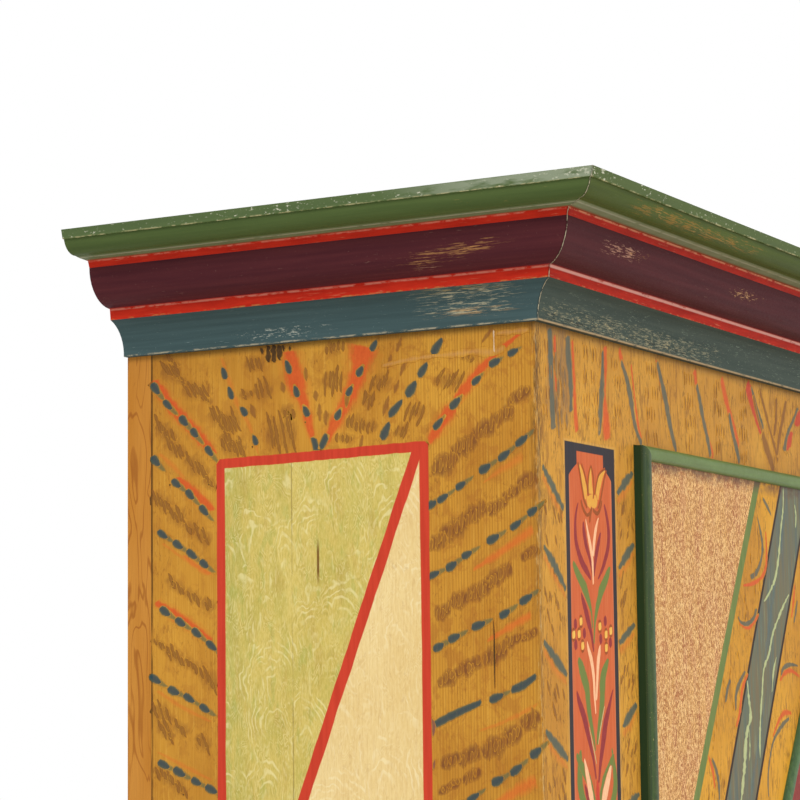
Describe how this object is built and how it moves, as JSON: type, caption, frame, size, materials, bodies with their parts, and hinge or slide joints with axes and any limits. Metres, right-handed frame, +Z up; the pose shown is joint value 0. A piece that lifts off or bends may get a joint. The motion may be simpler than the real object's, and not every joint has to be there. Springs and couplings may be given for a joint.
{
  "type": "kas cupboard",
  "caption": "Wide painted kas with a deep mitred cornice, bead-framed doors over drawers, and ball feet at the front.",
  "frame": {"origin": "on the floor under the middle of the whole piece, cornice included", "axes": "+X to the right seen from the front, +Y to the back, +Z up; the doors are on the -Y side"},
  "size_m": [1.892, 0.626, 1.933],
  "materials": {
    "cornice_crown_front": "old painted wood, worn",
    "cornice_crown_returns": "old painted wood, worn",
    "cornice_ovolo_front": "old painted wood, worn",
    "cornice_ovolo_returns": "old painted wood, worn",
    "cornice_cove_front": "old painted wood, worn",
    "cornice_cove_returns": "old painted wood, worn",
    "waist_moulding": "old painted wood, worn",
    "base_moulding": "old painted wood, worn",
    "left_side_boards": "old painted wood, worn",
    "left_back_post": "bare pine, aged",
    "left_stile": "old painted wood, worn",
    "right_side_boards": "old painted wood, worn",
    "right_back_post": "bare pine, aged",
    "right_stile": "old painted wood, worn",
    "frieze_board": "old painted wood, worn",
    "waist_rail": "old painted wood, worn",
    "base_rail": "old painted wood, worn",
    "drawer_muntin": "old painted wood, worn",
    "case_bottom": "bare pine, aged",
    "cupboard_floor": "bare pine, aged",
    "case_top": "bare pine, aged",
    "back_boards": "bare pine, aged",
    "shelves": "bare pine, aged",
    "shelf_cleats": "bare pine, aged",
    "upper_door_stop": "bare pine, aged",
    "lower_door_stop": "bare pine, aged",
    "drawer_runners": "bare pine, aged",
    "front_feet": "old painted wood, worn",
    "rear_feet": "old painted wood, worn",
    "left_frame_hinges": "iron painted with the door bead",
    "right_frame_hinges": "iron painted with the door bead",
    "left_door_leaf": "old painted wood, worn",
    "left_door_battens": "bare pine, aged",
    "left_door_bead": "old painted wood, worn",
    "left_lozenge_bead": "old painted wood, worn",
    "left_door_hinges": "iron painted with the door bead",
    "lock_keeper": "blackened wrought iron",
    "slide_bolt_guides": "blackened wrought iron",
    "right_door_leaf": "old painted wood, worn",
    "right_door_battens": "bare pine, aged",
    "right_door_bead": "old painted wood, worn",
    "right_lozenge_bead": "old painted wood, worn",
    "right_door_hinges": "iron painted with the door bead",
    "lock_case": "blackened wrought iron",
    "escutcheon": "blackened wrought iron",
    "left_drawer_front": "old painted wood, worn",
    "left_drawer_sides": "bare pine, aged",
    "left_drawer_back": "bare pine, aged",
    "left_drawer_bottom": "bare pine, aged",
    "left_drawer_knobs": "old painted wood, worn",
    "right_drawer_front": "old painted wood, worn",
    "right_drawer_sides": "bare pine, aged",
    "right_drawer_back": "bare pine, aged",
    "right_drawer_bottom": "bare pine, aged",
    "right_drawer_knobs": "old painted wood, worn",
    "lock_bolt": "blackened wrought iron",
    "key": "blackened wrought iron",
    "upper_slide_bolt": "blackened wrought iron",
    "lower_slide_bolt": "blackened wrought iron"
  },
  "bodies": {
    "case": {"cornice_crown_front": "cornice_crown_front", "cornice_crown_returns": "cornice_crown_returns", "cornice_ovolo_front": "cornice_ovolo_front", "cornice_ovolo_returns": "cornice_ovolo_returns", "cornice_cove_front": "cornice_cove_front", "cornice_cove_returns": "cornice_cove_returns", "waist_moulding": "waist_moulding", "base_moulding": "base_moulding", "left_side_boards": "left_side_boards", "left_back_post": "left_back_post", "left_stile": "left_stile", "right_side_boards": "right_side_boards", "right_back_post": "right_back_post", "right_stile": "right_stile", "frieze_board": "frieze_board", "waist_rail": "waist_rail", "base_rail": "base_rail", "drawer_muntin": "drawer_muntin", "case_bottom": "case_bottom", "cupboard_floor": "cupboard_floor", "case_top": "case_top", "back_boards": "back_boards", "shelves": "shelves", "shelf_cleats": "shelf_cleats", "upper_door_stop": "upper_door_stop", "lower_door_stop": "lower_door_stop", "drawer_runners": "drawer_runners", "front_feet": "front_feet", "rear_feet": "rear_feet", "left_frame_hinges": "left_frame_hinges", "right_frame_hinges": "right_frame_hinges"},
    "left_door": {"left_door_leaf": "left_door_leaf", "left_door_battens": "left_door_battens", "left_door_bead": "left_door_bead", "left_lozenge_bead": "left_lozenge_bead", "left_door_hinges": "left_door_hinges", "lock_keeper": "lock_keeper", "slide_bolt_guides": "slide_bolt_guides"},
    "right_door": {"right_door_leaf": "right_door_leaf", "right_door_battens": "right_door_battens", "right_door_bead": "right_door_bead", "right_lozenge_bead": "right_lozenge_bead", "right_door_hinges": "right_door_hinges", "lock_case": "lock_case", "escutcheon": "escutcheon"},
    "left_drawer": {"left_drawer_front": "left_drawer_front", "left_drawer_sides": "left_drawer_sides", "left_drawer_back": "left_drawer_back", "left_drawer_bottom": "left_drawer_bottom", "left_drawer_knobs": "left_drawer_knobs"},
    "right_drawer": {"right_drawer_front": "right_drawer_front", "right_drawer_sides": "right_drawer_sides", "right_drawer_back": "right_drawer_back", "right_drawer_bottom": "right_drawer_bottom", "right_drawer_knobs": "right_drawer_knobs"},
    "lock_bolt": {"lock_bolt": "lock_bolt"},
    "key": {"key": "key"},
    "upper_slide_bolt": {"upper_slide_bolt": "upper_slide_bolt"},
    "lower_slide_bolt": {"lower_slide_bolt": "lower_slide_bolt"}
  },
  "joints": [
    {"name": "left_door_swing", "type": "hinge", "parent": "case", "child": "left_door", "pos_m": [-0.573, -0.195, 1], "axis": [0, 0, -1], "range_deg": [0, 115]},
    {"name": "right_door_swing", "type": "hinge", "parent": "case", "child": "right_door", "pos_m": [0.573, -0.195, 1], "axis": [0, 0, 1], "range_deg": [0, 115]},
    {"name": "left_drawer_slide", "type": "slide", "parent": "case", "child": "left_drawer", "axis": [0, -1, 0], "range_m": [0, 0.33]},
    {"name": "right_drawer_slide", "type": "slide", "parent": "case", "child": "right_drawer", "axis": [0, -1, 0], "range_m": [0, 0.33]},
    {"name": "key_turn", "type": "hinge", "parent": "right_door", "child": "key", "pos_m": [0.066, -0.195, 1], "axis": [0, 1, 0], "range_deg": [0, 180]},
    {"name": "lock_bolt_slide", "type": "slide", "parent": "right_door", "child": "lock_bolt", "axis": [-1, 0, 0], "range_m": [0, 0.018]},
    {"name": "upper_slide_bolt_slide", "type": "slide", "parent": "left_door", "child": "upper_slide_bolt", "axis": [0, 0, 1], "range_m": [0, 0.014]},
    {"name": "lower_slide_bolt_slide", "type": "slide", "parent": "left_door", "child": "lower_slide_bolt", "axis": [0, 0, -1], "range_m": [0, 0.014]}
  ],
  "couplings": [
    {"joint": "key_turn", "follows": "lock_bolt_slide", "rad_per_m": 174.5}
  ]
}
